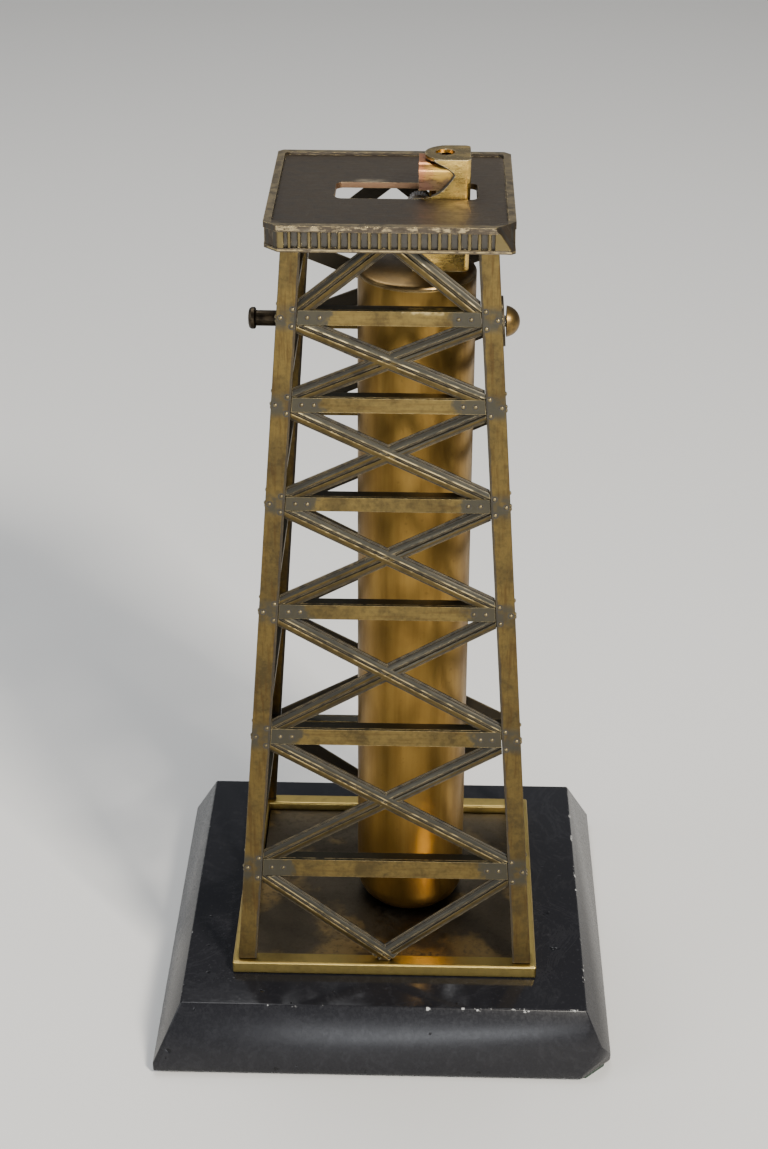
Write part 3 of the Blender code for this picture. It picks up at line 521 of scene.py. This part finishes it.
def black_stone():
    """Polished black stone with faint veins, dulled and scuffed, and tiny white chips along its edges."""
    net = Net("black_stone")
    vein = net.ramp(net.noise(0.05, 7, 0.65, distort=1.5), 0.47, 0.50)
    vein = net.product(vein, net.ramp(net.noise(0.05, 7, 0.65, distort=1.5), 0.50, 0.53, 1.0, 0.0))
    scuff = net.noise((1.1, 1.1, 1.1), 6, 0.7, shift=(3, 1, 0))
    colour = net.mix(net.product(vein, 0.05), (0.010, 0.010, 0.012), (0.10, 0.10, 0.11))
    colour = net.mix(net.ramp(scuff, 0.55, 0.78), colour, (0.026, 0.026, 0.030))
    chip_noise = net.noise(0.55, 4, 0.6, shift=(7, 3, 0))
    bias = net.ramp(net.axis(0), -30.0, 30.0, -0.05, 0.03)
    flecks = net.ramp(net.sum(chip_noise, bias), 0.615, 0.66)
    brink = net.product(net.between(net.across(), 44.8, 45.35, 0.15), net.ramp(net.axis(2), 14.5, 14.8))
    chips = net.product(brink, flecks)
    colour = net.mix(net.product(chips, 0.75), colour, (0.50, 0.50, 0.49))
    pock = net.ramp(net.noise(0.28, 2, 0.5, shift=(4, 0, 2)), 0.72, 0.76)
    colour = net.mix(pock, colour, (0.004, 0.004, 0.005))
    net.set("IOR", 1.34)
    sloping = net.facing_up(0.93, 0.98)
    polish = net.blend(sloping, 0.27, 0.13)
    rough = net.sum(polish, net.ramp(scuff, 0.35, 0.75, -0.02, 0.06))
    rough = net.blend(chips, rough, 0.6)
    net.bump((scuff, 0.04, 0.05), (net.calc("ADD", chips, pock, True), 0.5, -0.12))
    return net.finish(colour, rough, 0.0)


def felt():
    net = Net("felt")
    fibre = net.noise(4.0, 6, 0.8)
    colour = net.mix(net.ramp(fibre, 0.3, 0.7), (0.010, 0.022, 0.014), (0.035, 0.060, 0.042))
    net.bump((fibre, 0.8, 0.15))
    return net.finish(colour, 0.95, 0.0)


def cotton():
    net = Net("cotton")
    strand = net.noise((3.0, 3.0, 1.0), 5, 0.7)
    burnt = net.ramp(net.axis(2), 186.5, 189.0)
    colour = net.mix(net.ramp(strand, 0.3, 0.7), (0.50, 0.44, 0.34), (0.74, 0.69, 0.58))
    colour = net.mix(burnt, colour, (0.03, 0.025, 0.02))
    net.bump((strand, 0.7, 0.15))
    return net.finish(colour, 0.9, 0.0)


def steel(name, light=(0.46, 0.45, 0.43), dark=(0.20, 0.18, 0.16)):
    net = Net(name)
    mottle = net.ramp(net.noise(0.7, 5, 0.6), 0.4, 0.7)
    turned = net.noise((4.0, 0.6, 0.6), 4, 0.6)
    colour = net.mix(mottle, light, dark)
    # Painted shade in the recesses, from ambient occlusion.
    colour = net.mix(net.product(net.recess(0.8), 0.7), colour, (0.03, 0.03, 0.03))
    net.bump((turned, 0.2, 0.03))
    return net.finish(colour, net.blend(mottle, 0.28, 0.45))


# ---------------------------------------------------------------- pieces


# Millimetres. SEAT is how far rivets sink into a face and the painted shadow rings stand out of it, so that
# no faces coincide.
RIVET_RADIUS = 0.46
RIVET_SQUASH = 0.72
SHADOW_RING_RADIUS = 0.70
SEAT = 0.02
LEG_RIVET_INSET = 0.85
LEG_OUTER_INSET = 0.9
GIRT_RIVET_INSETS = (2.1, 4.6)
GIRT_FACE = -0.35
# Radius of the painted shade line along the hood's cut edge.
GAP_SHADE_RADIUS = 0.16
HOOD_FRONT = -4.98
# The hood's cut front edge, as (x, height above the datum).
HOOD_EDGE = (
    (8.45, 194.25), (9.55, 193.60), (10.55, 193.10), (11.55, 192.45), (12.23, 191.92), (12.60, 191.40),
    (12.38, 190.90), (11.85, 190.17), (11.02, 189.14), (10.14, 188.22), (9.16, 187.53), (8.08, 187.08),
)
# Three points of the break across the plinth's front right foot corner.
BREAK = ((48.5, -48.5, 6.6), (44.7, -51.0, 1.45), (51.0, -44.7, 1.45))
ROUNDING = {
    "plinth": 0.0,
    "base_felt": 0.12,
    "crown_plate": 0.07,
    "sill_frame": 0.22,
    "hood": 0.10,
    "snuffer": 0.10,
}
SMALL_ROUNDING = 0.05


def new_object(name, mesh):
    obj = bpy.data.objects.new(name, mesh)
    bpy.context.scene.collection.objects.link(obj)
    return obj


def paint(obj, mat):
    obj.data.materials.clear()
    obj.data.materials.append(mat)


def finer(node, mat, bevel):
    """A finer copy of a CAD solid: merged facets, smooth curves, and edges rounded by bevel millimetres."""
    mesh = NODES[node].data.copy()
    mesh.name = node + "_fine"
    work = bmesh.new()
    work.from_mesh(mesh)
    bmesh.ops.remove_doubles(work, verts=work.verts, dist=1e-7)
    bmesh.ops.dissolve_limit(work, angle_limit=math.radians(1.0), verts=work.verts, edges=work.edges)
    work.to_mesh(mesh)
    work.free()
    obj = new_object(node + "_fine", mesh)
    obj.matrix_world = NODES[node].matrix_world
    paint(obj, mat)
    mesh.shade_smooth()
    mesh.set_sharp_from_angle(angle=math.radians(35.0))
    if bevel:
        step = obj.modifiers.new("rounded_edges", "BEVEL")
        step.width = bevel * MM
        step.segments = 2
        step.limit_method = "ANGLE"
        step.angle_limit = math.radians(30)
        step.harden_normals = True
        step.use_clamp_overlap = True
    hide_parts(node)
    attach(obj, BODY_OF[node])
    return obj


def half_at(z):
    """Half the tower's width at a height above its datum."""
    return TOWER_HALF - LEAN * z


def on_face(side, u, z, w):
    """A point of a tower face: u along it, z above the datum, w out of it, in metres."""
    v = z / math.cos(TILT)
    y = -TOWER_HALF + v * math.sin(TILT) - w * math.cos(TILT)
    point = Vector((u, y, z + w * math.sin(TILT) + LIFT)) * MM
    return Matrix.Rotation(side * math.pi / 2, 4, "Z") @ point


def face_turn(side):
    lean = Matrix.Rotation(math.pi / 2 - TILT, 4, "X")
    return Matrix.Rotation(side * math.pi / 2, 4, "Z") @ lean


def on_tower(name, work, mat, smooth=False):
    """Ends a mesh that is being built as one piece fixed to the tower."""
    mesh = bpy.data.meshes.new(name)
    work.to_mesh(mesh)
    work.free()
    if smooth:
        mesh.shade_smooth()
    obj = new_object(name, mesh)
    paint(obj, mat)
    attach(obj, "tower")


def rivets(name, places, mat):
    """Domed rivet heads at (side, u, z, w) places of the tower's faces."""
    work = bmesh.new()
    squash = Matrix.Diagonal((1.0, 1.0, RIVET_SQUASH, 1.0))
    for side, u, z, w in places:
        head = bmesh.ops.create_uvsphere(work, u_segments=14, v_segments=8, radius=RIVET_RADIUS * MM)
        spot = Matrix.Translation(on_face(side, u, z, w - SEAT))
        bmesh.ops.transform(work, matrix=spot @ face_turn(side) @ squash, verts=head["verts"])
    on_tower(name, work, mat, smooth=True)


def shadow_rings(name, places, mat):
    """Thin dark discs that paint a shadow ring round each rivet head."""
    work = bmesh.new()
    for side, u, z, w in places:
        ring = bmesh.ops.create_circle(work, cap_ends=True, segments=18, radius=SHADOW_RING_RADIUS * MM)
        spot = Matrix.Translation(on_face(side, u, z, w + SEAT))
        bmesh.ops.transform(work, matrix=spot @ face_turn(side), verts=ring["verts"])
    on_tower(name, work, mat)


def leg_places():
    """Three rivets on each leg where a girt meets it, on all four faces."""
    for side in range(4):
        for level, height in zip(GIRT_LEVELS, GIRT_HEIGHTS):
            apart = 0.57 * height
            for hand in (-1, 1):
                for z in (level - apart, level + apart):
                    yield side, hand * (half_at(z) - LEG_WIDTH + LEG_RIVET_INSET), z, 0.0
                yield side, hand * (half_at(level) - LEG_OUTER_INSET), level, 0.0


def girt_places():
    """Two rivets at each end of a girt."""
    for side in range(4):
        for level in GIRT_LEVELS:
            for hand in (-1, 1):
                for inset in GIRT_RIVET_INSETS:
                    yield side, hand * (half_at(level) - LEG_WIDTH - inset), level, GIRT_FACE


def chip_corner(obj):
    """Breaks off the front right foot corner of the plinth or its felt, where the stone is chipped."""
    a, b, c = (Vector((x, y, z + LIFT)) * MM for x, y, z in BREAK)
    normal = (b - a).cross(c - a).normalized()
    if normal.x < 0:
        normal = -normal
    work = bmesh.new()
    work.from_mesh(obj.data)
    everything = work.verts[:] + work.edges[:] + work.faces[:]
    cut = bmesh.ops.bisect_plane(work, geom=everything, plane_co=a, plane_no=normal, clear_outer=True)
    rim = [item for item in cut["geom_cut"] if isinstance(item, bmesh.types.BMEdge)]
    bmesh.ops.contextual_create(work, geom=rim)
    work.to_mesh(obj.data)
    work.free()


def hood_gap_shade(mat):
    """Painted shade: a dark line along the gap between the hood's cut edge and the snuffer."""
    curve = bpy.data.curves.new("hood_gap_shade", "CURVE")
    curve.dimensions = "3D"
    curve.bevel_depth = GAP_SHADE_RADIUS * MM
    curve.bevel_resolution = 2
    spline = curve.splines.new("NURBS")
    spline.points.add(len(HOOD_EDGE) - 1)
    for point, (x, z) in zip(spline.points, HOOD_EDGE):
        point.co = (x * MM, HOOD_FRONT * MM, (z + LIFT) * MM, 1.0)
    spline.use_endpoint_u = True
    source = new_object("hood_gap_shade_curve", curve)
    bpy.context.view_layer.update()
    mesh = bpy.data.meshes.new_from_object(source.evaluated_get(bpy.context.evaluated_depsgraph_get()))
    bpy.data.objects.remove(source, do_unlink=True)
    obj = new_object("hood_gap_shade", mesh)
    paint(obj, mat)
    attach(obj, "tower")


# ---------------------------------------------------------------- stage and light


def make_stage():
    mesh = bpy.data.meshes.new("floor")
    work = bmesh.new()
    bmesh.ops.create_grid(work, x_segments=1, y_segments=1, size=30.0)
    work.to_mesh(mesh)
    work.free()
    floor = new_object("floor", mesh)
    mat = bpy.data.materials.new("floor_pale")
    mat.use_nodes = True
    shader = mat.node_tree.nodes["Principled BSDF"]
    shader.inputs["Base Color"].default_value = (0.66, 0.655, 0.64, 1)
    shader.inputs["Roughness"].default_value = 0.75
    paint(floor, mat)
    world = bpy.data.worlds.new("studio")
    bpy.context.scene.world = world
    world.use_nodes = True
    back = world.node_tree.nodes["Background"]
    back.inputs["Color"].default_value = (0.82, 0.86, 0.92, 1)
    back.inputs["Strength"].default_value = 0.26


def panel_light(name, at, target, size, power, colour):
    light = bpy.data.lights.new(name, "AREA")
    light.shape = "RECTANGLE"
    light.size, light.size_y = size
    light.energy = power
    light.color = colour
    obj = bpy.data.objects.new(name, light)
    bpy.context.scene.collection.objects.link(obj)
    aim = (Vector(target) - Vector(at)).to_track_quat("-Z", "Y")
    obj.matrix_world = Matrix.Translation(at) @ aim.to_matrix().to_4x4()


def make_lights():
    panel_light("key", (0.60, -0.85, 0.95), (0, 0, 0.10), (0.22, 0.22), 30, (1.0, 0.94, 0.84))
    panel_light("fill", (-0.95, -0.35, 0.55), (0, 0, 0.10), (0.8, 0.7), 5, (0.90, 0.95, 1.0))
    panel_light("front", (0.10, -1.25, 0.27), (0, 0, 0.03), (0.9, 0.22), 7, (0.93, 0.96, 1.0))
    panel_light("top", (-0.1, 0.35, 1.0), (0, 0, 0.1), (0.6, 0.6), 6, (1.0, 1.0, 1.0))


def dress():
    """Makes every piece: a finer copy of each CAD node, then the rivets, the painted shadow rings round them
    and the painted shade line at the hood.
    """
    legs = antique("leg_brass", 1.0, "leg")
    girts = antique("girt_brass", 5.0, "girt", clean=(0.185, 0.130, 0.043))
    braces = antique("brace_brass", 9.0, "brace", clean=(0.125, 0.088, 0.032))
    heads = antique("rivet_brass", 13.0, "rivet", clean=(0.24, 0.19, 0.10), patina=(0.09, 0.074, 0.044))
    shade_material = shade_paint()
    finish = {
        "plinth": black_stone(),
        "base_felt": felt(),
        "tie_screw": steel("tie_screw_steel"),
        "floor_plate": floor_brass(),
        "sill_frame": sill_brass(),
        "crown_plate": crown_bronze(),
        "lighter_tube": tube_brass("tube_brass"),
        "tube_cap": tube_brass("cap_brass", (0.24, 0.155, 0.060), (0.10, 0.072, 0.038)),
        "hood": hood_brass(),
        "snuffer": snuffer_brass(),
        "snuffer_pin": dull_brass("pin_brass", (0.70, 0.54, 0.25), (0.40, 0.29, 0.12), 0.3, 2),
        "ball_knob": dull_brass("ball_brass", (0.20, 0.128, 0.042), (0.11, 0.072, 0.028), 0.36, 3),
        # Painted shade: the left boss is coloured far darker than the ball knob because the tower's left side
        # lies in shade.
        "left_boss": dull_brass("boss_brass_in_shade", (0.050, 0.038, 0.024), (0.022, 0.017, 0.012), 0.42, 4),
        "right_washer": dull_brass("right_washer_brass", (0.10, 0.080, 0.052), (0.05, 0.040, 0.027), 0.4, 5),
        "left_washer": dull_brass("left_washer_brass", (0.10, 0.080, 0.052), (0.05, 0.040, 0.027), 0.4, 6),
        "flint_tube": dull_brass("flint_tube_brass", (0.55, 0.41, 0.18), (0.30, 0.22, 0.10), 0.34, 7),
        "wick_tube": dull_brass("wick_tube_brass", (0.50, 0.38, 0.18), (0.20, 0.15, 0.08), 0.36, 8),
        "wick": cotton(),
        "knob_axle": steel("axle_steel", (0.40, 0.37, 0.32), (0.20, 0.17, 0.13)),
        "striker_wheel": steel("striker_steel", (0.32, 0.31, 0.30), (0.15, 0.14, 0.13)),
    }
    for node in sorted(NODES):
        if node.startswith("leg_"):
            finer(node, legs, 0.14)
        elif node.startswith("girt_"):
            finer(node, girts, 0.12)
        elif node.startswith("brace_"):
            finer(node, braces, 0.10)
        else:
            piece = finer(node, finish[node], ROUNDING.get(node, SMALL_ROUNDING))
            if node in ("plinth", "base_felt"):
                chip_corner(piece)
    rivets("leg_rivets", leg_places(), heads)
    rivets("girt_rivets", girt_places(), heads)
    # Painted shadow rings round the rivet heads.
    shadow_rings("leg_rivet_shadow", leg_places(), shade_material)
    shadow_rings("girt_rivet_shadow", girt_places(), shade_material)
    hood_gap_shade(shade_material)


make_camera()
make_stage()
make_lights()
dress()
